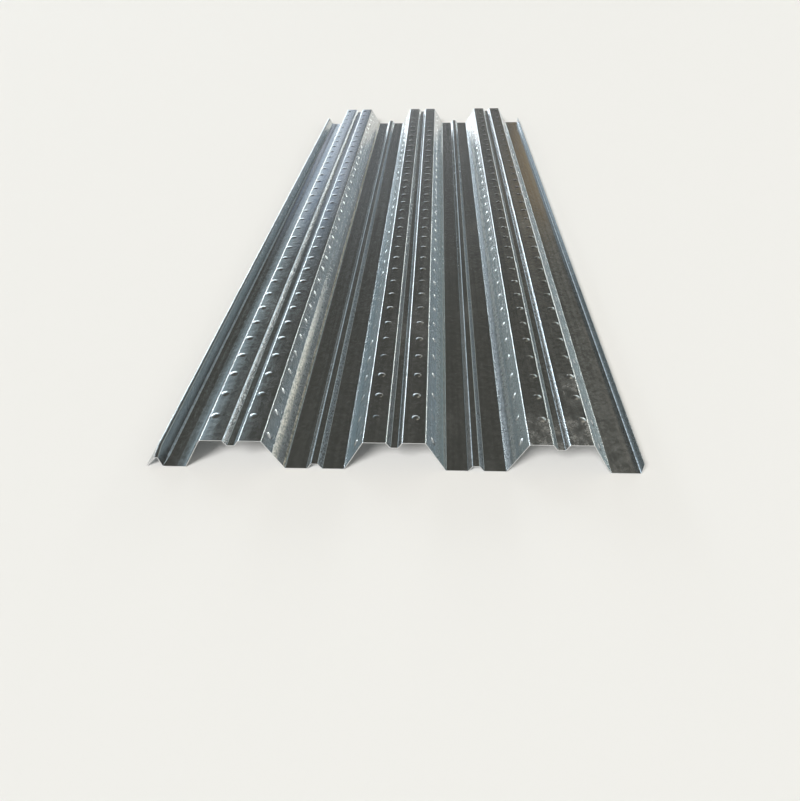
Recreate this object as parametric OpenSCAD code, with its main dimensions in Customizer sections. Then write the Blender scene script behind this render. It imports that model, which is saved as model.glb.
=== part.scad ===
// Profiled steel floor decking: one galvanised sheet, rolled lengthwise into ribs and valleys,
// with a side lap along each edge that joins it to the next sheet.
// X runs across the sheet, Y along its ribs and Z up. The origin is the middle of the underside.

/* [Sheet] */
// Length of the sheet along its ribs
sheet_l = 2000; // [600:10:12000]
// Thickness of the steel
steel_t = 1; // [0.6:0.1:1.5]
// Inside radius of every rolled bend
bend_r = 2; // [1:0.1:3]

/* [Ribs] */
// Number of ribs across the sheet
rib_count = 3; // [1:1:6]
// Distance from the middle of one rib to the middle of the next
rib_pitch = 240; // [210:1:320]
// Height of a rib, from the valley to its crest
rib_h = 51; // [35:1:80]
// Width of a rib across its crest
crest_w = 91; // [70:1:125]
// Width of a rib across its foot
foot_w = 151; // [120:1:180]

/* [Crest groove] */
// Width of the groove at the crest
groove_w = 24; // [18:1:40]
// Width of the groove's floor
groove_floor_w = 11; // [6:1:16]
// Depth of the groove below the crest
groove_d = 9; // [4:0.5:14]

/* [Valley stiffener] */
// Width of the stiffener at the valley floor
stiffener_w = 23; // [18:1:40]
// Width of the stiffener's top
stiffener_top_w = 10; // [6:1:16]
// Height of the stiffener above the valley
stiffener_h = 9; // [4:0.5:14]

/* [Side laps] */
// Distance from the joint line to the foot of the cap
cap_foot = 12; // [8:0.5:18]
// Width of the cap's top, centred on the joint line
cap_w = 6; // [5.5:0.5:10]
// Height of the cap above the valley
cap_h = 20; // [14:0.5:28]
// Distance that the cap's outer leg leans away from the joint line
cap_flare = 4; // [0:0.5:8]
// Height of the outer leg's lower edge above the valley
cap_lift = 3; // [2.5:0.5:8]
// Distance that the tongue of the other edge leans outwards
tongue_lean = 1.5; // [0:0.25:2]
// Gap between the tongue's top edge and the cap of the next sheet
lap_gap = 1.5; // [0.5:0.25:4]

/* [Hidden] */

// Short flats that draw each bend
bend_steps = 4;
// Radius of a bend along the middle of the steel
mid_r = bend_r + steel_t / 2;
// Joint line: half the width that one laid sheet covers
joint_x = rib_count * rib_pitch / 2;
// The tongue stands as high as the next sheet's cap leaves room for
tongue_h = cap_h - steel_t - lap_gap;

// Corners of a fold in the steel, symmetrical about x: foot, edge, edge, foot
function fold_corners(x, z, base_w, end_w, rise) = [
    [x - base_w / 2, z],
    [x - end_w / 2, z + rise],
    [x + end_w / 2, z + rise],
    [x + base_w / 2, z]
];

// Corners of one rib, with the groove let into its crest
function rib_corners(x) =
    let (sides = fold_corners(x, 0, foot_w, crest_w, rib_h))
    let (groove = fold_corners(x, rib_h, groove_w, groove_floor_w, -groove_d))
    concat([sides[0], sides[1]], groove, [sides[2], sides[3]]);

// Corners of the stiffener that stands in the valley to the left of a rib
function stiffener_corners(rib_x) =
    fold_corners(rib_x - rib_pitch / 2, 0, stiffener_w, stiffener_top_w, stiffener_h);

// Ribs from left to right, with a stiffened valley between neighbours
function profile_corners() = [
    for (i = [0 : rib_count - 1])
        let (x = (i - (rib_count - 1) / 2) * rib_pitch)
        each concat(i > 0 ? stiffener_corners(x) : [], rib_corners(x))
];

// Cap along the left edge, from the tip of its outer leg to its foot
function cap_corners() = [
    [-joint_x - cap_w / 2 - cap_flare, cap_lift],
    [-joint_x - cap_w / 2, cap_h],
    [-joint_x + cap_w / 2, cap_h],
    [-joint_x + cap_foot, 0]
];

// Tongue along the right edge, which stands under the next sheet's cap
function tongue_corners() = [
    [joint_x, 0],
    [joint_x + tongue_lean, tongue_h]
];

// Sharp corners along the middle of the steel, from the left edge to the right
corners = concat(cap_corners(), profile_corners(), tongue_corners());
last = len(corners) - 1;

// Heading of the flat that leaves corner i, and the unit vectors along and to the left of a heading
function heading(i) =
    let (run = corners[i + 1] - corners[i])
    atan2(run.y, run.x);
function ahead(angle) = [cos(angle), sin(angle)];
function left_of(angle) = [-sin(angle), cos(angle)];

// Points of the bend at corner i, on the face that lies a distance to the left of the middle
function bend_points(i, off) =
    let (from = heading(i - 1))
    let (turn = heading(i) - from)
    let (side = sign(turn))
    let (start = corners[i] - mid_r * tan(abs(turn) / 2) * ahead(from))
    let (centre = start + side * mid_r * left_of(from))
    [for (k = [0 : bend_steps]) centre - (side * mid_r - off) * left_of(from + turn * k / bend_steps)];

// One face of the steel, from edge to edge
function face_points(off) = concat(
    [corners[0] + off * left_of(heading(0))],
    [for (i = [1 : last - 1]) each bend_points(i, off)],
    [corners[last] + off * left_of(heading(last - 1))]
);

function reversed(points) = [for (i = [len(points) - 1 : -1 : 0]) points[i]];

// Outline of the steel's section, and the middle of its width
section = concat(face_points(steel_t / 2), reversed(face_points(-steel_t / 2)));
section_x = [for (point = section) point.x];
middle_x = (min(section_x) + max(section_x)) / 2;

module decking_sheet()
    color([0.62, 0.64, 0.65])
        translate([-middle_x, sheet_l / 2, steel_t / 2])
            rotate([90, 0, 0])
                linear_extrude(sheet_l)
                    polygon(section);

decking_sheet();
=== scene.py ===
"""Dresses one profiled steel floor decking sheet: embossed steel, a zinc finish, and a studio around it.

Lengths are metres in the part's own frame: X across the sheet, Y along its ribs, Z up.
"""

from __future__ import annotations

import logging
import math
from dataclasses import dataclass, field
from enum import Enum
from typing import Any, Iterable, Mapping, Sequence

import bmesh
import bpy
from mathutils import Matrix, Vector


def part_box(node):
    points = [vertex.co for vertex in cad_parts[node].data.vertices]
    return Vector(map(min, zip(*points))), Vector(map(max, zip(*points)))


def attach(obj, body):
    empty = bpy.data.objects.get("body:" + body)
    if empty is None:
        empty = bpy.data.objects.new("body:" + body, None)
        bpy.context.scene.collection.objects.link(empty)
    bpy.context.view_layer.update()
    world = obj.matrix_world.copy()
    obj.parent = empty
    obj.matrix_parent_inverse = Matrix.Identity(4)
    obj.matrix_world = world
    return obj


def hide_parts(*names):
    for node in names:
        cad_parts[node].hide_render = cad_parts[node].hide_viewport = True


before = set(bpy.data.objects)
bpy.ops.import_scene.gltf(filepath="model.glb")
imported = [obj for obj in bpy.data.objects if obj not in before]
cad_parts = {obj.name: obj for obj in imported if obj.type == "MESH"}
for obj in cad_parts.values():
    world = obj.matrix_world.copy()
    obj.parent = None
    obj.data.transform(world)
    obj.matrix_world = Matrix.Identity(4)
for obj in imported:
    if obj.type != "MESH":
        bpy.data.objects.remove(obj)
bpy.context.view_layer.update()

LOG = logging.getLogger("decking")

SHEET_NODE = "decking_sheet"
SHEET_BODY = "root"

# Values that the mesh keeps at each point
TILT = "tilt"
RELIEF = "relief"
ROW = "row"
CELL = "cell"

# Places along the sheet beyond its two ends
NEAR_PAST = -1.1
FAR_PAST = 1.1
ALL_ALONG = (NEAR_PAST, FAR_PAST)

Colour = tuple[float, float, float, float]


class FlatKind(Enum):
    """What a flat stretch of the section carries."""

    PLAIN = "plain"
    CREST = "crest"
    WEB_UP = "web_up"
    WEB_DOWN = "web_down"


@dataclass(frozen=True)
class Corner:
    """A sharp corner of the section, before it is rounded.

    Attributes:
        x: Place across the sheet, from the middle of its ribs.
        z: Height above the middle of the valley steel.
        leaves: What the flat that leaves this corner carries.
    """

    x: float
    z: float
    leaves: FlatKind = FlatKind.PLAIN

    @property
    def point(self) -> Vector:
        """The corner as a plane vector."""
        return Vector((self.x, self.z))


@dataclass(frozen=True)
class Rail:
    """A line that runs along the sheet, seen end on.

    Attributes:
        point: Its place on the section, along the middle of the steel.
        normal: The steel's upward normal there.
    """

    point: Vector
    normal: Vector


@dataclass(frozen=True)
class Panel:
    """The steel between one rail and the next.

    Attributes:
        left: Number of the rail on its left.
        kind: What the panel carries.
        middle: Distance from the left rail to the middle of its relief.
    """

    left: int
    kind: FlatKind
    middle: float


def heading_of(run: Vector) -> float:
    """Angle of a plane vector from the X axis, in radians."""
    return math.atan2(run.y, run.x)


def ahead_of(angle: float) -> Vector:
    """Unit vector along a heading."""
    return Vector((math.cos(angle), math.sin(angle)))


def left_of(angle: float) -> Vector:
    """Unit vector to the left of a heading."""
    return Vector((-math.sin(angle), math.cos(angle)))


@dataclass(frozen=True)
class DeckSection:
    """The sheet's section across its ribs, with the sizes that its steel is rolled to.

    Attributes:
        bend_steps: Number of facets round a bend.
        edge_strip: Width of the strip beside a bend that keeps its flat's shading even.
        row_spread: Place of a row of dimples across the sheet, over the place of its flat's middle.
        up_gap: Distance along the steel from the marks of a left web to the first row of dimples.
        down_gap: Distance along the steel from the second row of dimples to the marks of a right web.
    """

    steel_t: float = 0.001
    bend_r: float = 0.002
    rib_count: int = 3
    rib_pitch: float = 0.240
    rib_h: float = 0.051
    crest_w: float = 0.091
    foot_w: float = 0.151
    groove_w: float = 0.024
    groove_floor_w: float = 0.011
    groove_d: float = 0.009
    stiffener_w: float = 0.023
    stiffener_top_w: float = 0.010
    stiffener_h: float = 0.009
    cap_foot: float = 0.012
    cap_w: float = 0.006
    cap_h: float = 0.020
    cap_flare: float = 0.004
    cap_lift: float = 0.003
    tongue_lean: float = 0.0015
    lap_gap: float = 0.0015
    bend_steps: int = 4
    edge_strip: float = 0.0006
    row_spread: float = 1.03
    up_gap: float = 0.0423
    down_gap: float = 0.0365

    @property
    def mid_r(self) -> float:
        """Radius of a bend along the middle of the steel."""
        return self.bend_r + self.steel_t / 2

    @property
    def joint_x(self) -> float:
        """Distance from the middle of the ribs to the joint line of each side lap."""
        return self.rib_count * self.rib_pitch / 2

    def rib(self, x: float) -> list[Corner]:
        """Corners of one rib with its crest groove.

        Args:
            x: Middle of the rib.

        Returns:
            The corners from left to right.
        """
        floor_z = self.rib_h - self.groove_d
        return [
            Corner(x - self.foot_w / 2, 0.0, FlatKind.WEB_UP),
            Corner(x - self.crest_w / 2, self.rib_h, FlatKind.CREST),
            Corner(x - self.groove_w / 2, self.rib_h),
            Corner(x - self.groove_floor_w / 2, floor_z),
            Corner(x + self.groove_floor_w / 2, floor_z),
            Corner(x + self.groove_w / 2, self.rib_h, FlatKind.CREST),
            Corner(x + self.crest_w / 2, self.rib_h, FlatKind.WEB_DOWN),
            Corner(x + self.foot_w / 2, 0.0),
        ]

    def stiffener(self, x: float) -> list[Corner]:
        """Corners of one valley stiffener.

        Args:
            x: Middle of the valley.

        Returns:
            The corners from left to right.
        """
        return [
            Corner(x - self.stiffener_w / 2, 0.0),
            Corner(x - self.stiffener_top_w / 2, self.stiffener_h),
            Corner(x + self.stiffener_top_w / 2, self.stiffener_h),
            Corner(x + self.stiffener_w / 2, 0.0),
        ]

    def corners(self) -> list[Corner]:
        """Sharp corners of the whole section, from the cap's tip to the tongue's edge."""
        joint = self.joint_x
        found = [
            Corner(-joint - self.cap_w / 2 - self.cap_flare, self.cap_lift),
            Corner(-joint - self.cap_w / 2, self.cap_h),
            Corner(-joint + self.cap_w / 2, self.cap_h),
            Corner(-joint + self.cap_foot, 0.0),
        ]
        for i in range(self.rib_count):
            x = (i - (self.rib_count - 1) / 2) * self.rib_pitch
            if i:
                found += self.stiffener(x - self.rib_pitch / 2)
            found += self.rib(x)
        tongue_h = self.cap_h - self.steel_t - self.lap_gap
        found += [Corner(joint, 0.0), Corner(joint + self.tongue_lean, tongue_h)]
        return found

    def relief_middle(self, corners: Sequence[Corner], i: int) -> float:
        """Where the relief of a flat lies: dimples by their rows' spread, web marks a gap away from them.

        Args:
            corners: All the corners.
            i: Number of the flat's left corner.

        Returns:
            Distance from the left corner along the flat.
        """
        here, after = corners[i], corners[i + 1]
        if here.leaves is FlatKind.CREST:
            return (here.x + after.x) / 2 * self.row_spread - here.x
        if here.leaves is FlatKind.WEB_UP:
            return (after.point - here.point).length + self.relief_middle(corners, i + 1) - self.up_gap
        crest_left = corners[i - 1].x
        return self.down_gap + self.relief_middle(corners, i - 1) - (here.x - crest_left)

    def bend(self, before: Corner, here: Corner, after: Corner) -> list[Rail]:
        """Rails round one bend.

        Args:
            before: The corner to the left.
            here: The corner that is rounded.
            after: The corner to the right.

        Returns:
            Rails from where the bend starts to where it ends.
        """
        start_heading = heading_of(here.point - before.point)
        turn = heading_of(after.point - here.point) - start_heading
        side = math.copysign(1.0, turn)
        start = here.point - ahead_of(start_heading) * self.mid_r * math.tan(abs(turn) / 2)
        centre = start + left_of(start_heading) * side * self.mid_r
        rails = []
        for k in range(self.bend_steps + 1):
            normal = left_of(start_heading + turn * k / self.bend_steps)
            rails.append(Rail(centre - normal * side * self.mid_r, normal))
        return rails

    def rails_and_panels(self) -> tuple[list[Rail], list[Panel]]:
        """Lays rails round every bend and beside it, and names the panels between them.

        Returns:
            The rails from left to right, and the panels that carry relief.
        """
        corners = self.corners()
        first, last = corners[0], corners[-1]
        first_normal = left_of(heading_of(corners[1].point - first.point))
        rails = [Rail(first.point, first_normal)]
        panels = []
        for i in range(1, len(corners) - 1):
            here, after = corners[i], corners[i + 1]
            along = ahead_of(heading_of(here.point - corners[i - 1].point))
            bend = self.bend(corners[i - 1], here, after)
            rails.append(Rail(bend[0].point - along * self.edge_strip, bend[0].normal))
            rails += bend
            onward = ahead_of(heading_of(after.point - here.point))
            inset = (bend[-1].point - here.point).length + self.edge_strip
            rails.append(Rail(here.point + onward * inset, bend[-1].normal))
            if here.leaves is not FlatKind.PLAIN:
                middle = self.relief_middle(corners, i) - inset
                panels.append(Panel(len(rails) - 1, here.leaves, middle))
        rails.append(Rail(last.point, rails[-1].normal))
        return rails, panels


@dataclass(frozen=True)
class Emboss:
    """One pressed mark, as rings that rise from the flat steel to its top.

    Attributes:
        length: Its size along its own long way.
        width: Its size across that way.
        height: How far it stands above the flat.
        rings: Share of the size and share of the height of each ring, from outside in.
    """

    length: float
    width: float
    height: float
    rings: tuple[tuple[float, float], ...]

    SIDES = 16
    LOWER_LEFT = math.radians(-135)

    def ring(self, share: float, turn: float) -> list[Vector]:
        """Points of one ring about the mark's middle.

        Args:
            share: Share of the mark's size.
            turn: Angle of the long way from straight across the sheet.

        Returns:
            Points across and along the sheet, from the lower left corner round to the right.
        """
        points = []
        for k in range(self.SIDES):
            angle = self.LOWER_LEFT + math.tau * k / self.SIDES - turn
            across = math.cos(angle) * share * self.length / 2
            beside = math.sin(angle) * share * self.width / 2
            points.append(Matrix.Rotation(turn, 2) @ Vector((across, beside)))
        return points


@dataclass(frozen=True)
class EmbossPattern:
    """The pressed marks that repeat along the sheet, and where along it they lie.

    Attributes:
        pitch: Distance from one mark to the next in its row.
        first: Distance of the first dimples from the near end.
        web_first: Distance of the first web marks from the near end.
        lead: How far before its dimples a cell starts.
        slant: Turn of the web marks from straight up the web.
        dimple: The mark of the crests.
        dash: The mark of the webs.
    """

    pitch: float = 0.0580
    first: float = 0.0600
    web_first: float = 0.0270
    lead: float = 0.0165
    slant: float = math.radians(25)
    dimple: Emboss = Emboss(
        length=0.0130,
        width=0.0130,
        height=0.0016,
        rings=((1.12, 0.0), (1.0, 0.0), (0.84, 0.32), (0.60, 0.66), (0.32, 0.91)),
    )
    dash: Emboss = Emboss(
        length=0.0140,
        width=0.0095,
        height=0.0016,
        rings=((1.14, 0.0), (1.0, 0.0), (0.82, 0.34), (0.54, 0.72)),
    )

    @property
    def start(self) -> float:
        """Where the first whole cell starts, clear of every mark."""
        return self.first - self.lead

    def places(self, near: float, far: float) -> dict[FlatKind, float]:
        """Finds the marks of a stretch of at most one cell.

        Args:
            near: Its near end along the sheet.
            far: Its far end along the sheet.

        Returns:
            Where along the sheet the marks of each kind of flat lie, for those that fit.
        """
        found = {}
        for kind in (FlatKind.CREST, FlatKind.WEB_UP, FlatKind.WEB_DOWN):
            first = self.first if kind is FlatKind.CREST else self.web_first
            place = first + max(0, math.ceil((near - first) / self.pitch)) * self.pitch
            half = self.mark(kind)[0].length / 2
            if near + half < place < far - half:
                found[kind] = place
        return found

    def mark(self, kind: FlatKind) -> tuple[Emboss, float]:
        """The mark that a flat carries, and its turn.

        Args:
            kind: What the flat carries.

        Returns:
            The mark and the angle of its long way.
        """
        if kind is FlatKind.CREST:
            return self.dimple, 0.0
        return self.dash, self.slant if kind is FlatKind.WEB_UP else -self.slant


@dataclass
class DeckCell:
    """A stretch of the sheet, as the middle surface of its steel.

    Attributes:
        section: The section that it follows.
        pattern: The marks pressed into it.
        near: Its near end along the sheet.
        far: Its far end along the sheet.
        marks: Where along the sheet the marks of each kind of flat lie.
    """

    section: DeckSection
    pattern: EmbossPattern
    near: float
    far: float
    marks: Mapping[FlatKind, float]

    def mesh(self, name: str) -> bpy.types.Mesh:
        """Builds the stretch.

        Args:
            name: Name of the mesh.

        Returns:
            A mesh whose faces point up.
        """
        rails, panels = self.section.rails_and_panels()
        relief = {panel.left: panel for panel in panels if panel.kind in self.marks}
        built = bmesh.new()
        tilt = built.verts.layers.float.new(TILT)
        built.verts.layers.float_vector.new(RELIEF)
        built.verts.layers.int.new(ROW)
        ends = [[built.verts.new(self.place(rail, y)) for y in (self.near, self.far)] for rail in rails]
        for rail, pair in zip(rails, ends):
            for vertex in pair:
                vertex[tilt] = abs(rail.normal.x)
        for i in range(len(rails) - 1):
            outline = [ends[i][0], ends[i + 1][0], ends[i + 1][1], ends[i][1]]
            if i in relief:
                self.press(built, outline, rails[i], rails[i + 1], relief[i])
            else:
                built.faces.new(outline)
        made = bpy.data.meshes.new(name)
        built.to_mesh(made)
        built.free()
        return made

    @staticmethod
    def place(rail: Rail, y: float) -> Vector:
        """The point of a rail at a place along the sheet."""
        return Vector((rail.point.x, y, rail.point.y))

    def press(
        self,
        built: bmesh.types.BMesh,
        outline: Sequence[bmesh.types.BMVert],
        left: Rail,
        right: Rail,
        panel: Panel,
    ) -> None:
        """Presses a mark into one flat panel.

        Args:
            built: The mesh under way.
            outline: The panel's corners: near left, near right, far right, far left.
            left: The rail on its left.
            right: The rail on its right.
            panel: What the panel carries, and where.
        """
        emboss, turn = self.pattern.mark(panel.kind)
        across = (right.point - left.point).normalized()
        along = self.marks[panel.kind]
        tilt = built.verts.layers.float[TILT]
        relief = built.verts.layers.float_vector[RELIEF]
        row = built.verts.layers.int[ROW]

        def lift(offset: Vector, height: float) -> bmesh.types.BMVert:
            """Makes a point of the mark."""
            flat = left.point + across * (panel.middle + offset.x)
            rise = Vector((left.normal.x, 0.0, left.normal.y)) * height
            made = built.verts.new(Vector((flat.x, along + offset.y, flat.y)) + rise)
            made[tilt] = abs(left.normal.x)
            made[relief] = rise
            made[row] = panel.left
            return made

        rings = [
            [lift(point, rise * emboss.height) for point in emboss.ring(share, turn)]
            for share, rise in emboss.rings
        ]
        top = lift(Vector((0.0, 0.0)), emboss.height)
        quarter = emboss.SIDES // 4
        outer = rings[0]
        for side in range(4):
            arc = [outer[(side * quarter + k) % emboss.SIDES] for k in range(quarter, -1, -1)]
            built.faces.new([outline[side], outline[(side + 1) % 4], *arc])
        for k in range(emboss.SIDES):
            after = (k + 1) % emboss.SIDES
            for wide, narrow in zip(rings, rings[1:]):
                built.faces.new([wide[k], wide[after], narrow[after], narrow[k]])
            built.faces.new([rings[-1][k], rings[-1][after], top])


@dataclass(frozen=True)
class CellRun:
    """Geometry Nodes that lay one cell end to end along the sheet.

    Attributes:
        count: Number of cells.
        pitch: Length of a cell.
        weld: Distance within which the points of neighbouring cells become one.
        shallow: Largest share of its height that a mark may lack.
        seed: Picks which marks are shallow.
        ROWS: More than the rails of a section, so that each mark has a number of its own.
        INPUTS: Name and type of each input of the tree.
    """

    count: int
    pitch: float
    weld: float = 0.00002
    shallow: float = 0.5
    seed: int = 7

    ROWS = 1000
    INPUTS = {
        "Cell": "NodeSocketGeometry",
        "Count": "NodeSocketInt",
        "Pitch": "NodeSocketFloat",
        "Weld": "NodeSocketFloat",
        "Shallow": "NodeSocketFloat",
        "Seed": "NodeSocketInt",
        "Finish": "NodeSocketMaterial",
    }

    def tree(self) -> bpy.types.NodeTree:
        """Builds the node tree, with its sizes as named inputs."""
        tree = bpy.data.node_groups.new("cell_run", "GeometryNodeTree")
        for name, kind in self.INPUTS.items():
            tree.interface.new_socket(name=name, in_out="INPUT", socket_type=kind)
        tree.interface.new_socket(name="Run", in_out="OUTPUT", socket_type="NodeSocketGeometry")
        graph = Graph(tree)
        given = graph.node("NodeGroupInput").outputs
        step = graph.node("ShaderNodeCombineXYZ", inputs={"Y": given["Pitch"]})
        line = graph.node(
            "GeometryNodeMeshLine",
            inputs={"Count": given["Count"], "Offset": step.outputs[0]},
        )
        laid = graph.node(
            "GeometryNodeInstanceOnPoints",
            inputs={"Points": line.outputs[0], "Instance": given["Cell"]},
        )
        index = graph.node("GeometryNodeInputIndex").outputs[0]
        counted = graph.node(
            "GeometryNodeStoreNamedAttribute",
            {"data_type": "INT", "domain": "INSTANCE"},
            {"Geometry": laid.outputs[0], "Name": CELL, "Value": index},
        )
        real = graph.node("GeometryNodeRealizeInstances", inputs={"Geometry": counted.outputs[0]})
        relief, row, cell = (
            graph.node("GeometryNodeInputNamedAttribute", {"data_type": kind}, {"Name": name}).outputs[0]
            for name, kind in ((RELIEF, "FLOAT_VECTOR"), (ROW, "INT"), (CELL, "INT"))
        )
        number = self.ROWS * Scalar(graph, cell) + Scalar(graph, row)
        missed = graph.node(
            "FunctionNodeRandomValue",
            {"data_type": "FLOAT"},
            {"Min": 0.0, "Max": given["Shallow"], "ID": number, "Seed": given["Seed"]},
        ).outputs[1]
        sunk = graph.node(
            "ShaderNodeVectorMath",
            {"operation": "SCALE"},
            {0: relief, "Scale": -1.0 * Scalar(graph, missed)},
        )
        uneven = graph.node(
            "GeometryNodeSetPosition",
            inputs={"Geometry": real.outputs[0], "Offset": sunk.outputs[0]},
        )
        welded = graph.node(
            "GeometryNodeMergeByDistance",
            inputs={"Geometry": uneven.outputs[0], "Distance": given["Weld"]},
        )
        dressed = graph.node(
            "GeometryNodeSetMaterial",
            inputs={"Geometry": welded.outputs[0], "Material": given["Finish"]},
        )
        graph.node("NodeGroupOutput", inputs={"Run": dressed.outputs[0]})
        return tree

    def lay(self, cell: bpy.types.Mesh, finish: bpy.types.Material) -> bpy.types.Mesh:
        """Lays the cells.

        Args:
            cell: Mesh of the first cell, in its place.
            finish: Material of the steel.

        Returns:
            One plain mesh of all the cells.
        """
        holder = bpy.data.objects.new("cell_run", cell)
        bpy.context.scene.collection.objects.link(holder)
        modifier = holder.modifiers.new("run", "NODES")
        modifier.node_group = self.tree()
        values = {
            "Count": self.count,
            "Pitch": self.pitch,
            "Weld": self.weld,
            "Shallow": self.shallow,
            "Seed": self.seed,
            "Finish": finish,
        }
        for item in modifier.node_group.interface.items_tree:
            if item.in_out == "INPUT" and item.name in values:
                modifier[item.identifier] = values[item.name]
        made = plain_mesh(holder, "cell_run")
        bpy.data.objects.remove(holder)
        return made


def plain_mesh(holder: bpy.types.Object, name: str) -> bpy.types.Mesh:
    """Turns an object with its modifiers into a plain mesh.

    Args:
        holder: The object, whose modifiers are removed.
        name: Name of the new mesh.

    Returns:
        The evaluated mesh.
    """
    graph = bpy.context.evaluated_depsgraph_get()
    graph.update()
    made = bpy.data.meshes.new_from_object(holder.evaluated_get(graph))
    made.name = name
    holder.modifiers.clear()
    return made


class Scalar:
    """A number socket whose operators add Math nodes."""

    def __init__(self, graph: Graph, socket: bpy.types.NodeSocket) -> None:
        """Wraps a socket of a graph."""
        self.graph = graph
        self.socket = socket

    def math(self, operation: str, *others: Scalar | float) -> Scalar:
        """Adds a Math node that starts from this number.

        Args:
            operation: The Math node's operation.
            others: Its other operands.

        Returns:
            The result.
        """
        values = dict(enumerate((self, *others)))
        made = self.graph.node("ShaderNodeMath", {"operation": operation}, values)
        return Scalar(self.graph, made.outputs[0])

    def reflected(self, operation: str, other: float) -> Scalar:
        """Adds a Math node that starts from a plain number.

        Args:
            operation: The Math node's operation.
            other: Its first operand.

        Returns:
            The result.
        """
        made = self.graph.node("ShaderNodeMath", {"operation": operation}, {0: other, 1: self})
        return Scalar(self.graph, made.outputs[0])

    def __add__(self, other: Scalar | float) -> Scalar:
        """Sum."""
        return self.math("ADD", other)

    def __radd__(self, other: float) -> Scalar:
        """Sum with a plain number first."""
        return self.reflected("ADD", other)

    def __sub__(self, other: Scalar | float) -> Scalar:
        """Difference."""
        return self.math("SUBTRACT", other)

    def __rsub__(self, other: float) -> Scalar:
        """Difference with a plain number first."""
        return self.reflected("SUBTRACT", other)

    def __mul__(self, other: Scalar | float) -> Scalar:
        """Product."""
        return self.math("MULTIPLY", other)

    def __rmul__(self, other: float) -> Scalar:
        """Product with a plain number first."""
        return self.reflected("MULTIPLY", other)

    def between(self, low: float, high: float) -> Scalar:
        """Fades from 0 at low to 1 at high.

        Args:
            low: Value that gives 0.
            high: Value that gives 1.

        Returns:
            The smooth fade.
        """
        made = self.graph.node(
            "ShaderNodeMapRange",
            {"interpolation_type": "SMOOTHSTEP"},
            {"Value": self, "From Min": low, "From Max": high},
        )
        return Scalar(self.graph, made.outputs[0])

    def kept(self, first: float, second: float) -> Scalar:
        """Keeps the number between two values.

        Args:
            first: One bound.
            second: The other bound, lower or higher.

        Returns:
            The number, or the nearer bound.
        """
        return self.math("MAXIMUM", min(first, second)).math("MINIMUM", max(first, second))

    def inside(self, low: float, high: float, fade: float) -> Scalar:
        """Is 1 between two values and fades to 0 beyond them.

        Args:
            low: The lower value.
            high: The higher value.
            fade: How far the fade goes on each side.

        Returns:
            The soft box.
        """
        return self.between(low - fade, low + fade) * (1.0 - self.between(high - fade, high + fade))

    def raised(self, least: float) -> Scalar:
        """Makes a share of 0 to 1 start from a least value instead.

        Args:
            least: What 0 becomes.

        Returns:
            The share, from that value to 1.
        """
        return least + (1.0 - least) * self


@dataclass(frozen=True)
class NoisePattern:
    """A pattern of smooth noise over the steel.

    Attributes:
        waves: Waves in a metre along X, Y and Z.
        detail: Number of finer layers.
        finer: How much the finer layers show.
        clear: Values of the noise that read as none and as full.
        bump: How far the pattern stands off, in bump heights.
    """

    waves: tuple[float, float, float]
    detail: float
    finer: float = 0.5
    clear: tuple[float, float] = (0.0, 1.0)
    bump: float = 0.0


class Graph:
    """A node tree with one method that makes any node."""

    METRES = (1.0, 1.0, 1.0)

    def __init__(self, tree: bpy.types.NodeTree) -> None:
        """Wraps a node tree."""
        self.tree = tree

    def node(
        self,
        kind: str,
        settings: Mapping[str, Any] | None = None,
        inputs: Mapping[Any, Any] | None = None,
    ) -> bpy.types.Node:
        """Makes a node.

        Args:
            kind: The node's type.
            settings: Its own settings, set first; stops are a colour ramp's.
            inputs: Values or links of its sockets, by name or number.

        Returns:
            The node.
        """
        made = self.tree.nodes.new(kind)
        for name, value in (settings or {}).items():
            if name == "stops":
                self.set_stops(made.color_ramp, value)
            else:
                setattr(made, name, value)
        for key, value in (inputs or {}).items():
            self.feed(made.inputs[key], value)
        return made

    def feed(self, socket: bpy.types.NodeSocket, value: Any) -> None:
        """Sets or links one input socket.

        Args:
            socket: The input.
            value: A plain value, a socket or a Scalar.
        """
        if isinstance(value, Scalar):
            value = value.socket
        if isinstance(value, bpy.types.NodeSocket):
            self.tree.links.new(value, socket)
        else:
            socket.default_value = value

    @staticmethod
    def set_stops(ramp: bpy.types.ColorRamp, stops: Iterable[tuple[float, Sequence[float]]]) -> None:
        """Sets a ramp's stops.

        Args:
            ramp: The colour ramp.
            stops: Place and colour of each stop.
        """
        for i, (place, colour) in enumerate(stops):
            stop = ramp.elements[i] if i < len(ramp.elements) else ramp.elements.new(place)
            stop.position = place
            stop.color = (*colour, 1.0)

    def scalar(self, node: bpy.types.Node, output: int | str = 0) -> Scalar:
        """One output of a node as a number."""
        return Scalar(self, node.outputs[output])

    def stretched(self, scale: Sequence[float]) -> bpy.types.NodeSocket:
        """Object coordinates, scaled along each axis.

        Args:
            scale: Pattern units in a metre along X, Y and Z.

        Returns:
            The vector socket.
        """
        place = self.node("ShaderNodeTexCoord").outputs["Object"]
        return self.node("ShaderNodeMapping", inputs={"Vector": place, "Scale": scale}).outputs[0]

    def attribute(self, name: str) -> Scalar:
        """A number that the mesh keeps at each point."""
        return self.scalar(self.node("ShaderNodeAttribute", {"attribute_name": name}), "Fac")

    def noise(self, pattern: NoisePattern) -> Scalar:
        """Smooth noise over the object.

        Args:
            pattern: What the noise is like.

        Returns:
            A number about 0.5.
        """
        made = self.node(
            "ShaderNodeTexNoise",
            inputs={
                "Vector": self.stretched(pattern.waves),
                "Scale": 1.0,
                "Detail": pattern.detail,
                "Roughness": pattern.finer,
            },
        )
        return self.scalar(made, "Fac")

    def mixed(self, share: Scalar, first: Any, second: Any) -> bpy.types.NodeSocket:
        """Mixes two colours.

        Args:
            share: Share of the second.
            first: The colour at 0.
            second: The colour at 1.

        Returns:
            The colour socket.
        """
        made = self.node("ShaderNodeMix", {"data_type": "RGBA"}, {0: share, 6: first, 7: second})
        return made.outputs[2]


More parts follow.
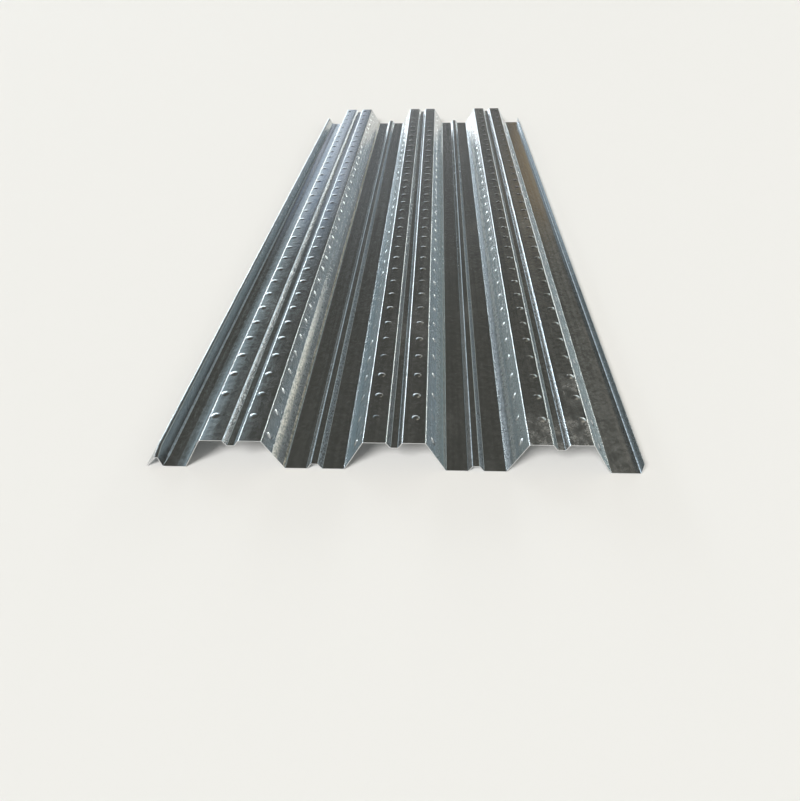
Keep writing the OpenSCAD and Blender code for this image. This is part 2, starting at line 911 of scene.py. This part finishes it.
@dataclass(frozen=True)
class MarkedStretch:
    """A stretch of the sheet that carries a mark: hazy scuffs from handling, a wear band with a painted
    cream sheen, or a painted highlight along a bend.

    Attributes:
        across: Its left and right edges.
        along: Its near and far edges.
        strength: How strongly it shows.
        fade: How softly it ends across and along the sheet.
    """

    across: tuple[float, float]
    along: tuple[float, float]
    strength: float
    fade: tuple[float, float] = (0.003, 0.03)


@dataclass(frozen=True)
class Dish:
    """A flat that the rolls left a little curved.

    Attributes:
        level: Place across the sheet where it is level.
        tilted: Place across the sheet where it tilts most.
        slope: How fast it rises to the right there.
        end: Place up to which it keeps that slope; none ends it where it tilts most.
        along: Its near and far ends along the sheet; none goes all along.
        fade: How softly it ends along the sheet.
    """

    level: float
    tilted: float
    slope: float
    end: float | None = None
    along: tuple[float, float] | None = None
    fade: float = 0.35


@dataclass(frozen=True)
class ZincFinish:
    """Hot-dip zinc on rolled steel, with spangle, rolling streaks, dished flats and marks of handling; the
    wear bands on the webs carry a painted cream sheen, and the bends carry painted highlights.

    Attributes:
        bright: Clean zinc at its lightest.
        dull: Clean zinc at its darkest.
        haze: The film over scuffs.
        warm: The lighter specks of a wear band's painted cream sheen.
        grime: The darker specks of a wear band's painted cream sheen.
        pale: The bluish white of the painted highlights along the bends.
        roughness: Gloss of the clean flats; the other rough values are added to it.
        band_matt: How much less metallic a wear band is, so that the lamp lights its painted sheen; the
            other matt values are for the painted bend highlights and for scuffs.
        spangle_size: Size of the zinc crystals.
        bump_height: Height of the bump's unit.
        streaks: Streaks that the rolls left along the sheet.
        clouds: Faint haze.
        grain: Fine grain of the ribs' sides.
        dents: Small dents from handling.
        specks: Specks in scuffs, in wear bands and in the painted bend highlights.
        swell: Slow waves in the flats.
        rolled: Roll marks of the ribs' sides.
        tilt_web: Tilts of the steel between which a flat becomes a web.
        tilt_face: Tilts between which a web becomes one of the ribs' sides.
        spangle_share: Share of the zinc's tone that comes from its crystals.
        cloud_share: How much of the faint haze shows.
        band_share: How far a wear band's painted sheen hides the zinc.
        haze_share: How far the film hides the zinc.
        band_least: Least share of a wear band that its dents leave.
        speck_least: Least share of scuffs and of painted bend highlights between their specks.
        work_least: Share of the ribs' roll marks that the other steel shows.
        scuffs: Hazy stretches on the flats.
        rub_sheen_bands: Wear bands on the webs, carrying a painted cream sheen.
        fold_highlights: Painted highlights along the bends and the cap's fold.
        dishes: Flats that aren't quite flat.
    """

    bright: Colour = (0.66, 0.68, 0.69, 1.0)
    dull: Colour = (0.50, 0.52, 0.53, 1.0)
    haze: Colour = (0.66, 0.62, 0.54, 1.0)
    warm: Colour = (0.88, 0.84, 0.75, 1.0)
    grime: Colour = (0.32, 0.33, 0.29, 1.0)
    # Bluish white of the painted highlights along the bends
    pale: Colour = (0.64, 0.77, 0.89, 1.0)
    roughness: float = 0.13
    spangle_rough: float = 0.05
    streak_rough: float = 0.06
    web_rough: float = 0.06
    band_rough: float = 0.20
    scuff_rough: float = 0.22
    band_matt: float = 0.25
    fold_highlight_matt: float = 0.60
    scuff_matt: float = 0.22
    spangle_size: float = 0.006
    bump_height: float = 0.00012
    streaks: NoisePattern = NoisePattern((160, 1.5, 160), 3.0, clear=(0.25, 0.75), bump=0.10)
    clouds: NoisePattern = NoisePattern((9, 5, 9), 4.0, 0.6, clear=(0.56, 0.72))
    grain: NoisePattern = NoisePattern((260, 200, 260), 3.0, bump=0.22)
    dents: NoisePattern = NoisePattern((75, 45, 75), 3.0, clear=(0.3, 0.7), bump=0.6)
    specks: NoisePattern = NoisePattern((320, 230, 320), 2.0, clear=(0.40, 0.60))
    swell: NoisePattern = NoisePattern((14, 5, 14), 1.0, bump=0.8)
    rolled: NoisePattern = NoisePattern((140, 0.6, 140), 1.0, bump=1.9)
    tilt_web: tuple[float, float] = (0.3, 0.75)
    tilt_face: tuple[float, float] = (0.77, 0.81)
    spangle_share: float = 0.45
    cloud_share: float = 0.2
    band_share: float = 0.9
    haze_share: float = 0.5
    band_least: float = 0.8
    speck_least: float = 0.4
    work_least: float = 0.12
    scuffs: tuple[MarkedStretch, ...] = (
        MarkedStretch(across=(0.190, 0.292), along=(NEAR_PAST, -0.935), strength=0.8),
        MarkedStretch(across=(0.262, 0.290), along=(-0.890, -0.815), strength=0.6),
        MarkedStretch(across=(0.318, 0.362), along=(NEAR_PAST, -0.700), strength=0.3, fade=(0.006, 0.25)),
    )
    # Wear bands where sheets rest on each other in the stack; their pale cream colour is a painted sheen
    rub_sheen_bands: tuple[MarkedStretch, ...] = (
        MarkedStretch(across=(-0.1778, -0.1718), along=(NEAR_PAST, -0.600), strength=1.0, fade=(0.0016, 0.35)),
        MarkedStretch(across=(-0.1722, -0.1675), along=(NEAR_PAST, -0.600), strength=0.25, fade=(0.0016, 0.35)),
        MarkedStretch(across=(0.0629, 0.0694), along=(NEAR_PAST, -0.600), strength=0.2, fade=(0.0016, 0.35)),
        MarkedStretch(across=(0.1760, 0.1805), along=ALL_ALONG, strength=0.25, fade=(0.0016, 0.03)),
        MarkedStretch(across=(-0.1645, -0.1625), along=ALL_ALONG, strength=1.6, fade=(0.0005, 0.03)),
        MarkedStretch(across=(0.0753, 0.0770), along=(NEAR_PAST, -0.400), strength=0.8, fade=(0.0005, 0.20)),
    )
    # Painted highlights: bluish-white lines along the bends and the cap's fold
    fold_highlights: tuple[MarkedStretch, ...] = (
        MarkedStretch(across=(-0.3466, -0.3446), along=ALL_ALONG, strength=2.4, fade=(0.0004, 0.03)),
        MarkedStretch(across=(-0.2502, -0.2474), along=ALL_ALONG, strength=1.0, fade=(0.0006, 0.03)),
        MarkedStretch(across=(-0.2330, -0.2308), along=(NEAR_PAST, 0.200), strength=2.2, fade=(0.0004, 0.40)),
        MarkedStretch(across=(-0.2264, -0.2242), along=(NEAR_PAST, 0.200), strength=2.2, fade=(0.0004, 0.40)),
        MarkedStretch(across=(0.0072, 0.0089), along=ALL_ALONG, strength=0.8, fade=(0.0004, 0.03)),
        MarkedStretch(across=(0.0117, 0.0150), along=ALL_ALONG, strength=0.2, fade=(0.0008, 0.03)),
        MarkedStretch(across=(0.2472, 0.2489), along=ALL_ALONG, strength=1.0, fade=(0.0004, 0.03)),
        MarkedStretch(across=(0.2517, 0.2550), along=(NEAR_PAST, -0.250), strength=0.6, fade=(0.0008, 0.25)),
        MarkedStretch(across=(-0.1233, -0.1212), along=ALL_ALONG, strength=2.2, fade=(0.0004, 0.03)),
        MarkedStretch(across=(0.1167, 0.1188), along=ALL_ALONG, strength=2.2, fade=(0.0004, 0.03)),
        MarkedStretch(across=(-0.1288, -0.1222), along=(NEAR_PAST, -0.400), strength=0.30, fade=(0.0008, 0.15)),
        MarkedStretch(across=(-0.1122, -0.1058), along=ALL_ALONG, strength=0.70, fade=(0.0008, 0.03)),
        MarkedStretch(across=(0.1112, 0.1178), along=(NEAR_PAST, -0.400), strength=0.30, fade=(0.0008, 0.15)),
        MarkedStretch(across=(0.1278, 0.1342), along=ALL_ALONG, strength=0.65, fade=(0.0008, 0.03)),
        MarkedStretch(across=(0.1686, 0.1740), along=ALL_ALONG, strength=0.60, fade=(0.0014, 0.03)),
        MarkedStretch(across=(0.3606, 0.3624), along=ALL_ALONG, strength=2.2, fade=(0.0003, 0.03)),
        MarkedStretch(across=(0.3630, 0.3660), along=(-0.200, FAR_PAST), strength=2.2, fade=(0.0004, 0.45)),
    )
    dishes: tuple[Dish, ...] = (
        Dish(level=-0.3460, tilted=-0.3270, slope=-0.055),
        Dish(level=-0.3290, tilted=-0.3128, slope=0.070),
        Dish(level=-0.2493, tilted=-0.2828, slope=0.080),
        Dish(level=-0.1918, tilted=-0.2253, slope=0.080),
        Dish(level=-0.1690, tilted=-0.1782, slope=0.355, along=(-1.6, -0.400)),
        Dish(level=-0.0610, tilted=-0.0585, slope=-0.130, end=-0.0435),
        Dish(level=0.0640, tilted=0.0610, slope=0.070, end=0.0490),
        Dish(level=0.2980, tilted=0.3140, slope=-0.090),
        Dish(level=0.3622, tilted=0.3643, slope=0.900),
    )

    def material(self) -> bpy.types.Material:
        """Builds the material."""
        made = bpy.data.materials.new("galvanised_steel")
        made.use_nodes = True
        made.node_tree.nodes.clear()
        graph = Graph(made.node_tree)
        place = graph.node("ShaderNodeSeparateXYZ", inputs={0: graph.stretched(graph.METRES)})
        across, along = graph.scalar(place, "X"), graph.scalar(place, "Y")
        cells = graph.node(
            "ShaderNodeTexVoronoi",
            inputs={"Vector": graph.stretched(graph.METRES), "Scale": 1 / self.spangle_size},
        )
        spangle = graph.scalar(graph.node("ShaderNodeSeparateColor", inputs={0: cells.outputs["Color"]}))
        tilt = graph.attribute(TILT)
        web, face = tilt.between(*self.tilt_web), tilt.between(*self.tilt_face)
        streak, dents = graph.noise(self.streaks), graph.noise(self.dents)
        cloud = graph.noise(self.clouds).between(*self.clouds.clear)
        mottle = dents.between(*self.dents.clear)
        speckle = graph.noise(self.specks).between(*self.specks.clear)
        # Wear bands on the webs, carrying a painted cream sheen
        band = web * self.marking(self.rub_sheen_bands, across, along) * mottle.raised(self.band_least)
        # Painted highlights along the bends, in a bluish white and made matt so the lamp lights them
        fold_highlight = web * self.marking(self.fold_highlights, across, along) * speckle.raised(self.speck_least)
        scuffs = self.marking(self.scuffs, across, along) * mottle * speckle.raised(self.speck_least)
        smudge = (self.cloud_share * cloud + scuffs) * (1.0 - web)
        streaky = streak.between(*self.streaks.clear)
        tone = self.spangle_share * spangle + (1.0 - self.spangle_share) * streaky
        zinc = graph.mixed(tone, self.dull, self.bright)
        # Colour of the wear bands: a painted cream sheen with darker specks
        rub_sheen_colour = graph.mixed(speckle, self.grime, self.warm)
        # Zinc with the wear bands' painted sheen and the painted bend highlights over it
        zinc_with_sheen_and_highlights = graph.mixed(fold_highlight, graph.mixed(self.band_share * band, zinc, rub_sheen_colour), self.pale)
        colour = graph.mixed(self.haze_share * smudge, zinc_with_sheen_and_highlights, self.haze)
        # Less metal under the wear bands' painted sheen and the painted bend highlights, so the lamp lights
        # them, and under scuffs
        matt = self.band_matt * band + self.fold_highlight_matt * fold_highlight + self.scuff_matt * smudge
        metal = (1.0 - matt).kept(0.0, 1.0)
        rough = self.roughness + self.spangle_rough * spangle + self.streak_rough * streak
        rough = rough + self.web_rough * web + self.scuff_rough * smudge + self.band_rough * band
        worked = self.grain.bump * graph.noise(self.grain) + self.rolled.bump * graph.noise(self.rolled)
        worked = worked * face.raised(self.work_least) + self.dents.bump * dents
        height = self.swell.bump * graph.noise(self.swell) + self.streaks.bump * streak
        height = height + worked + self.dished(across, along)
        bump = graph.node(
            "ShaderNodeBump",
            inputs={"Strength": 1.0, "Distance": self.bump_height, "Height": height},
        )
        shader = graph.node(
            "ShaderNodeBsdfPrincipled",
            inputs={"Base Color": colour, "Metallic": metal, "Roughness": rough, "Normal": bump.outputs[0]},
        )
        graph.node("ShaderNodeOutputMaterial", inputs={"Surface": shader.outputs[0]})
        return made

    @staticmethod
    def marking(scuffs: Iterable[MarkedStretch], across: Scalar, along: Scalar) -> Scalar:
        """How strongly each place is marked.

        Args:
            scuffs: The marked stretches.
            across: Place across the sheet.
            along: Place along the sheet.

        Returns:
            0 where the zinc is clean, and more where it is marked.
        """
        total: Scalar | float = 0.0
        for marked_stretch in scuffs:
            wide, long = marked_stretch.fade
            inside = across.inside(*marked_stretch.across, wide) * along.inside(*marked_stretch.along, long)
            total = marked_stretch.strength * inside + total
        return total

    def dished(self, across: Scalar, along: Scalar) -> Scalar:
        """How far the dished flats stand off, in bump heights.

        Args:
            across: Place across the sheet.
            along: Place along the sheet.

        Returns:
            The height.
        """
        total: Scalar | float = 0.0
        for dish in self.dishes:
            off = across.kept(dish.level, dish.tilted) - dish.level
            height = dish.slope / (2 * (dish.tilted - dish.level) * self.bump_height) * (off * off)
            if dish.end is not None:
                run = across.kept(dish.tilted, dish.end) - dish.tilted
                height = dish.slope / self.bump_height * run + height
            if dish.along is not None:
                height = height * along.inside(*dish.along, dish.fade)
            total = height + total
        return total


@dataclass(frozen=True)
class CutEdgeFinish:
    """Sheared steel along the sheet's edges: brighter, with fine marks of the blade."""

    pale: Colour = (0.78, 0.79, 0.80, 1.0)
    dark: Colour = (0.50, 0.50, 0.50, 1.0)
    roughness: float = 0.3
    mark_rough: float = 0.2
    marks: NoisePattern = NoisePattern((900, 900, 120), 3.0, clear=(0.55, 0.8))

    def material(self) -> bpy.types.Material:
        """Builds the material."""
        made = bpy.data.materials.new("cut_edge")
        made.use_nodes = True
        made.node_tree.nodes.clear()
        graph = Graph(made.node_tree)
        marks = graph.noise(self.marks)
        colour = graph.mixed(marks.between(*self.marks.clear), self.pale, self.dark)
        rough = self.roughness + self.mark_rough * marks
        shader = graph.node(
            "ShaderNodeBsdfPrincipled",
            inputs={"Base Color": colour, "Metallic": 1.0, "Roughness": rough},
        )
        graph.node("ShaderNodeOutputMaterial", inputs={"Surface": shader.outputs[0]})
        return made


@dataclass(frozen=True)
class KnockedCorner:
    """The near corner of the cap, knocked out of shape in handling.

    Attributes:
        reach: How far along the sheet the damage goes.
        tip: How far the cap's lower edge is pushed, across and up.
        ridge: How far the cap's top is pushed.
        foot: How far the fold beside the valley is pushed.
        fade: How far past that fold the damage ends.
    """

    reach: float = 0.026
    tip: tuple[float, float] = (-0.0100, -0.0022)
    ridge: tuple[float, float] = (0.0020, -0.0030)
    foot: tuple[float, float] = (-0.0030, 0.0008)
    fade: float = 0.003

    def split(self, sheet: bmesh.types.BMesh, right: float) -> None:
        """Cuts the cap across where the damage ends.

        Args:
            sheet: The middle surface of the steel.
            right: Place across the sheet up to which it is cut.
        """
        faces = [face for face in sheet.faces if all(vertex.co.x < right for vertex in face.verts)]
        edges = {edge for face in faces for edge in face.edges}
        points = {vertex for face in faces for vertex in face.verts}
        bmesh.ops.bisect_plane(
            sheet,
            geom=[*points, *edges, *faces],
            dist=CellRun.weld,
            plane_co=(0.0, self.reach, 0.0),
            plane_no=(0.0, 1.0, 0.0),
        )

    def press(self, steel: bpy.types.Mesh, section: DeckSection) -> None:
        """Pushes the corner's points, most at the very end of the sheet.

        Args:
            steel: The sheet's mesh, with its near end at 0 along Y.
            section: The section that it follows.
        """
        last = section.cap_foot - section.joint_x + self.fade
        for vertex in steel.vertices:
            if vertex.co.y >= self.reach or vertex.co.x >= last:
                continue
            share = (1 - vertex.co.y / self.reach) * min(1.0, (last - vertex.co.x) / self.fade)
            drop = min(1.0, max(0.0, 1 - vertex.co.z / section.cap_h))
            low = self.tip if vertex.co.x < -section.joint_x else self.foot
            push = Vector(self.ridge).lerp(Vector(low), drop) * share
            vertex.co += Vector((push.x, 0.0, push.y))


@dataclass
class DeckingSheet:
    """The whole sheet: embossed steel of one thickness, from end to end."""

    section: DeckSection = field(default_factory=DeckSection)
    pattern: EmbossPattern = field(default_factory=EmbossPattern)
    zinc: ZincFinish = field(default_factory=ZincFinish)
    cut_edge: CutEdgeFinish = field(default_factory=CutEdgeFinish)
    corner: KnockedCorner = field(default_factory=KnockedCorner)
    sharp_angle: float = math.radians(40)

    def build(self) -> bpy.types.Object:
        """Builds the sheet where its node is, dresses it and puts it on its body.

        Returns:
            The sheet's object.
        """
        low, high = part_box(SHEET_NODE)
        finishes = [self.zinc.material(), self.cut_edge.material()]
        surface = self.middle_surface(high.y - low.y, finishes[0])
        holder = bpy.data.objects.new("decking", surface)
        bpy.context.scene.collection.objects.link(holder)
        for finish in finishes[len(surface.materials):]:
            surface.materials.append(finish)
        wall = holder.modifiers.new("wall", "SOLIDIFY")
        wall.thickness = self.section.steel_t
        wall.offset = 0.0
        wall.use_even_offset = True
        wall.material_offset_rim = 1
        made = plain_mesh(holder, "decking")
        bpy.data.objects.remove(holder)
        left = min(vertex.co.x for vertex in made.vertices)
        self.corner.press(made, self.section)
        made.transform(Matrix.Translation((low.x - left, low.y, low.z + self.section.steel_t / 2)))
        made.polygons.foreach_set("use_smooth", [True] * len(made.polygons))
        made.set_sharp_from_angle(angle=self.sharp_angle)
        piece = bpy.data.objects.new("decking", made)
        bpy.context.scene.collection.objects.link(piece)
        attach(piece, SHEET_BODY)
        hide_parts(SHEET_NODE)
        return piece

    def middle_surface(self, length: float, finish: bpy.types.Material) -> bpy.types.Mesh:
        """Lays the embossed cells between two end stretches.

        Args:
            length: Length of the sheet.
            finish: Material of the steel.

        Returns:
            The middle surface of the steel, from 0 to length along Y.
        """
        pitch, start = self.pattern.pitch, self.pattern.start
        count = int((length - start) / pitch)
        end = start + count * pitch
        near, cell, far = (
            DeckCell(self.section, self.pattern, *ends, self.pattern.places(*ends))
            for ends in ((0.0, start), (start, start + pitch), (end, length))
        )
        stretches = [
            near.mesh("near_end"),
            CellRun(count, pitch).lay(cell.mesh("cell"), finish),
            far.mesh("far_end"),
        ]
        joined = bmesh.new()
        for stretch in stretches:
            joined.from_mesh(stretch)
        bmesh.ops.remove_doubles(joined, verts=joined.verts, dist=CellRun.weld)
        self.corner.split(joined, self.section.cap_foot - self.section.joint_x + self.corner.fade)
        made = bpy.data.meshes.new("middle_surface")
        joined.to_mesh(made)
        joined.free()
        made.materials.clear()
        made.materials.append(finish)
        return made


@dataclass(frozen=True)
class KeyLamp:
    """One broad lamp, far off behind the camera, which the steel doesn't mirror.

    Attributes:
        place: Direction that the light comes from.
        spread: How wide the lamp looks from the sheet, in degrees.
        strength: Light that falls on a surface which faces it.
        colour: Its colour.
    """

    place: tuple[float, float, float] = (-1.6, -3.4, 3.2)
    spread: float = 24.0
    strength: float = 3.3
    colour: tuple[float, float, float] = (1.0, 0.985, 0.965)

    def build(self) -> bpy.types.Object:
        """Makes the lamp, turned to the sheet."""
        lamp = bpy.data.lights.new("key_lamp", "SUN")
        lamp.angle = math.radians(self.spread)
        lamp.energy = self.strength
        lamp.color = self.colour
        made = bpy.data.objects.new("key_lamp", lamp)
        made.visible_glossy = False
        made.location = self.place
        made.rotation_euler = (-Vector(self.place)).to_track_quat("-Z", "Y").to_euler()
        bpy.context.scene.collection.objects.link(made)
        return made


@dataclass(frozen=True)
class WallPanel:
    """A part of the room with soft edges, placed round the line that the sheet runs along.

    Attributes:
        colour: Its colour.
        turn: Where it starts and ends round that line, in degrees from straight up, the right side positive.
        fade: How softly it starts and ends, in degrees.
        reach: Distances off that line at which it is whole and gone, in either order; none goes all along.
    """

    colour: tuple[float, float, float]
    turn: tuple[float, float] = (-200.0, 200.0)
    fade: float = 4.0
    reach: tuple[float, float] | None = None

    def share(self, turn: Scalar, off: Scalar) -> Scalar:
        """How far the panel covers what is behind it.

        Args:
            turn: Where a direction points round the line, in degrees.
            off: How far it points off the line.

        Returns:
            1 in the panel and 0 outside it.
        """
        share = turn.inside(*self.turn, self.fade)
        if self.reach is None:
            return share
        return share * (1.0 - off.between(*self.reach))


@dataclass(frozen=True)
class Room:
    """The room that the steel mirrors: a plain surround, dim above, and soft panels ahead of the sheet.

    Attributes:
        dim: Colour overhead.
        pale: Colour of the surround near the floor.
        rise: How high a direction points where the surround starts and ends growing dim.
        ahead: How far along the sheet a direction points where the panels begin and are full.
        panels: The panels, each over those before it.
        fill: A soft panel high on the right, over all the rest.
    """

    dim: Colour = (0.092, 0.090, 0.079, 1.0)
    pale: Colour = (0.78, 0.80, 0.79, 1.0)
    rise: tuple[float, float] = (0.25, 0.72)
    ahead: tuple[float, float] = (0.54, 0.68)
    panels: tuple[WallPanel, ...] = (
        WallPanel(colour=(0.17, 0.175, 0.175), reach=(0.22, 0.50)),
        WallPanel(colour=(0.58, 0.76, 0.92), turn=(-60, -27), fade=3, reach=(0.22, 0.46)),
        WallPanel(colour=(0.24, 0.34, 0.38), turn=(-100, -38), fade=3),
        WallPanel(colour=(0.50, 0.70, 0.82), turn=(-100, -38), fade=3, reach=(0.28, 0.50)),
        WallPanel(colour=(0.66, 0.76, 0.76), turn=(-100, -63), fade=2),
        WallPanel(colour=(2.40, 2.70, 2.90), turn=(-66, -56), fade=2, reach=(0.35, 0.42)),
        WallPanel(colour=(0.70, 0.87, 0.95), turn=(-46, -37), fade=2),
        WallPanel(colour=(1.00, 1.16, 1.22), turn=(-46, -36), fade=2, reach=(0.28, 0.44)),
        WallPanel(colour=(0.80, 0.90, 1.00), turn=(-38, -34), fade=0.7, reach=(0.36, 0.46)),
        WallPanel(colour=(0.24, 0.33, 0.54), turn=(-34, -29.5), fade=0.6, reach=(0.34, 0.44)),
        WallPanel(colour=(1.35, 1.42, 1.55), turn=(-29.2, -27), fade=0.8, reach=(0.312, 0.345)),
        WallPanel(colour=(1.60, 1.68, 1.80), turn=(-32, -29), fade=0.8, reach=(0.300, 0.322)),
        WallPanel(colour=(0.45, 0.50, 0.62), turn=(-32, -27), fade=1.2, reach=(0.282, 0.297)),
        WallPanel(colour=(14.0, 15.0, 15.8), turn=(-70, -65), fade=1.2),
        WallPanel(colour=(4.50, 4.90, 5.20), turn=(-71, -64), fade=1, reach=(0.30, 0.42)),
        WallPanel(colour=(0.54, 0.51, 0.44), turn=(28, 40), fade=3),
        WallPanel(colour=(0.66, 0.86, 0.92), turn=(40, 53), fade=2),
        WallPanel(colour=(0.27, 0.36, 0.40), turn=(43, 53), fade=2, reach=(0.30, 0.52)),
        WallPanel(colour=(0.46, 0.55, 0.54), turn=(53, 100), fade=2),
        WallPanel(colour=(1.70, 1.86, 1.92), turn=(62, 100), fade=2, reach=(0.28, 0.50)),
        WallPanel(colour=(0.26, 0.24, 0.20), turn=(78, 100), fade=2),
        WallPanel(colour=(13.5, 13.5, 12.8), turn=(67, 70.5), fade=1.2),
        WallPanel(colour=(4.50, 4.60, 4.60), turn=(66, 71.5), fade=1, reach=(0.30, 0.45)),
        WallPanel(colour=(0.14, 0.13, 0.11), turn=(8, 110), reach=(0.20, 0.27)),
        WallPanel(colour=(3.00, 3.10, 3.20), reach=(0.06, 0.13)),
        WallPanel(colour=(6.00, 6.30, 6.60), turn=(-110, -82), fade=2, reach=(0.50, 0.60)),
        WallPanel(colour=(4.00, 4.20, 4.40), turn=(-110, -65), fade=3, reach=(0.29, 0.36)),
        WallPanel(colour=(0.66, 0.44, 0.18), turn=(22.6, 26), fade=1.0, reach=(0.34, 0.40)),
        WallPanel(colour=(0.13, 0.13, 0.12), turn=(18, 28), fade=2, reach=(0.22, 0.27)),
    )
    fill: WallPanel = WallPanel(colour=(0.62, 0.57, 0.47), turn=(10, 60), fade=5, reach=(0.95, 0.80))

    def build(self) -> bpy.types.World:
        """Makes the world."""
        world = bpy.data.worlds.new("room")
        world.use_nodes = True
        world.node_tree.nodes.clear()
        graph = Graph(world.node_tree)
        way = graph.node("ShaderNodeTexCoord").outputs["Generated"]
        split = graph.node("ShaderNodeSeparateXYZ", inputs={0: way})
        across, height = graph.scalar(split, "X"), graph.scalar(split, "Z")
        turn = math.degrees(1.0) * across.math("ARCTAN2", height)
        off = (across * across + height * height).math("SQRT")
        colour: Any = self.dim
        for panel in self.panels:
            colour = graph.mixed(panel.share(turn, off), colour, (*panel.colour, 1.0))
        surround = graph.mixed(height.between(*self.rise), self.pale, self.dim)
        colour = graph.mixed(graph.scalar(split, "Y").between(*self.ahead), surround, colour)
        colour = graph.mixed(self.fill.share(turn, off), colour, (*self.fill.colour, 1.0))
        light = graph.node("ShaderNodeBackground", inputs={"Color": colour, "Strength": 1.0})
        graph.node("ShaderNodeOutputWorld", inputs={"Surface": light.outputs[0]})
        bpy.context.scene.world = world
        return world


@dataclass(frozen=True)
class Studio:
    """A plain pale floor, one broad lamp and the room round them."""

    floor_size: float = 60.0
    floor_drop: float = 0.0002
    floor_colour: Colour = (0.82, 0.82, 0.81, 1.0)
    floor_rough: float = 0.9
    floor_gloss: float = 0.1
    key: KeyLamp = KeyLamp()
    room: Room = Room()

    def build(self) -> None:
        """Builds the floor, the lamp and the room."""
        self.floor()
        self.key.build()
        self.room.build()

    def floor(self) -> bpy.types.Object:
        """Lays the floor just under the sheet."""
        half = self.floor_size / 2
        mesh = bpy.data.meshes.new("floor")
        corners = [(-half, -half), (half, -half), (half, half), (-half, half)]
        mesh.from_pydata([(x, y, -self.floor_drop) for x, y in corners], [], [(0, 1, 2, 3)])
        finish = bpy.data.materials.new("floor")
        finish.use_nodes = True
        shader = finish.node_tree.nodes["Principled BSDF"]
        shader.inputs["Base Color"].default_value = self.floor_colour
        shader.inputs["Roughness"].default_value = self.floor_rough
        shader.inputs["Specular IOR Level"].default_value = self.floor_gloss
        mesh.materials.append(finish)
        made = bpy.data.objects.new("floor", mesh)
        bpy.context.scene.collection.objects.link(made)
        return made


@dataclass(frozen=True)
class Viewpoint:
    """The camera: where it stands, how it is turned, and its lens in an image 801 pixels high.

    Attributes:
        place: Where it stands.
        yaw: Turn to the right of straight along the sheet, in degrees.
        pitch: Tilt downwards, in degrees.
        roll: Turn about its own line of sight, in degrees.
        focal_px: Focal length in pixels of the image.
    """

    place: tuple[float, float, float] = (0.0610, -1.7624, 0.6777)
    yaw: float = -3.596
    pitch: float = 35.767
    roll: float = -1.494
    focal_px: float = 685.3

    IMAGE_HEIGHT_PX = 801
    SENSOR_MM = 36.0
    SIGHT = 200.0

    def build(self) -> bpy.types.Object:
        """Sets up the scene's camera."""
        yaw, pitch, roll = (math.radians(angle) for angle in (self.yaw, self.pitch, self.roll))
        level_run = math.cos(pitch)
        forward = Vector((math.sin(yaw) * level_run, math.cos(yaw) * level_run, -math.sin(pitch)))
        level = Vector((math.cos(yaw), -math.sin(yaw), 0.0))
        upright = level.cross(forward)
        right = math.cos(roll) * level + math.sin(roll) * upright
        up = right.cross(forward)
        lens = bpy.data.cameras.new("camera")
        lens.sensor_width = self.SENSOR_MM
        lens.lens = self.focal_px / self.IMAGE_HEIGHT_PX * self.SENSOR_MM
        lens.clip_end = self.SIGHT
        made = bpy.data.objects.new("camera", lens)
        turn = Matrix((right, up, -forward)).transposed().to_4x4()
        made.matrix_world = Matrix.Translation(self.place) @ turn
        bpy.context.scene.collection.objects.link(made)
        bpy.context.scene.camera = made
        return made


def main() -> None:
    """Builds the view, the sheet and the studio."""
    logging.basicConfig(level=logging.INFO, format="%(name)s: %(message)s")
    bpy.context.scene.view_settings.view_transform = "Standard"
    Viewpoint().build()
    piece = DeckingSheet().build()
    faces = sum(len(polygon.vertices) - 2 for polygon in piece.data.polygons)
    LOG.info("%s: %d triangles", piece.name, faces)
    Studio().build()
    LOG.info("studio: floor, lamp and room")


if __name__ == "__main__":
    main()
